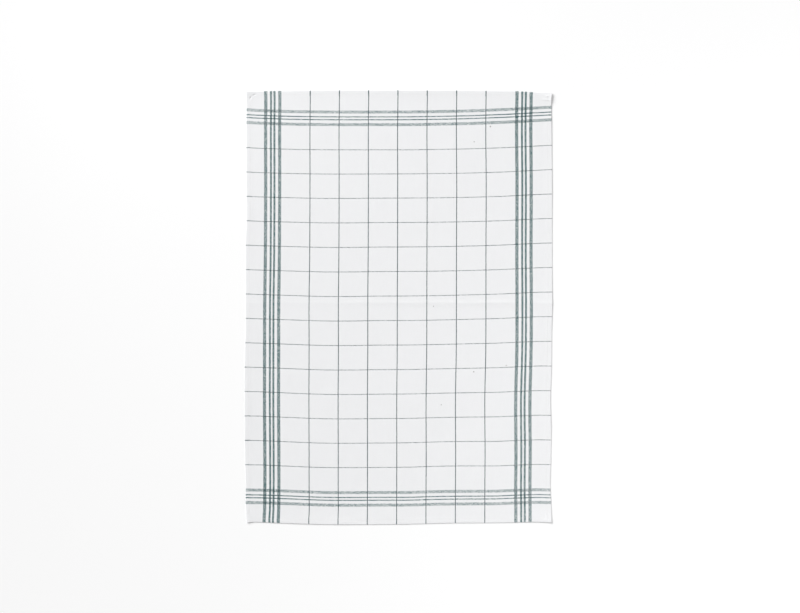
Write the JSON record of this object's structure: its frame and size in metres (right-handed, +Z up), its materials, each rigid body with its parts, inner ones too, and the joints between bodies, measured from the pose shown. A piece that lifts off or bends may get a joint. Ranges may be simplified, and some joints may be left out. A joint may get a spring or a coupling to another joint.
{
  "type": "tea towel",
  "caption": "Flat rectangular woven cotton tea towel with narrow hems and a thin check inside striped borders, for drying dishes.",
  "frame": {"origin": "middle of the outline's box, on the surface that the towel lies on", "axes": "+X across the towel to the right, +Y along it to the top hem, +Z up out of the face"},
  "size_m": [0.5054, 0.713, 0.0048],
  "materials": {
    "cloth": "matte plain-woven cotton, white with dark grey-green yarn stripes"
  },
  "bodies": {
    "root": {"towel_cloth": "cloth"}
  },
  "joints": []
}
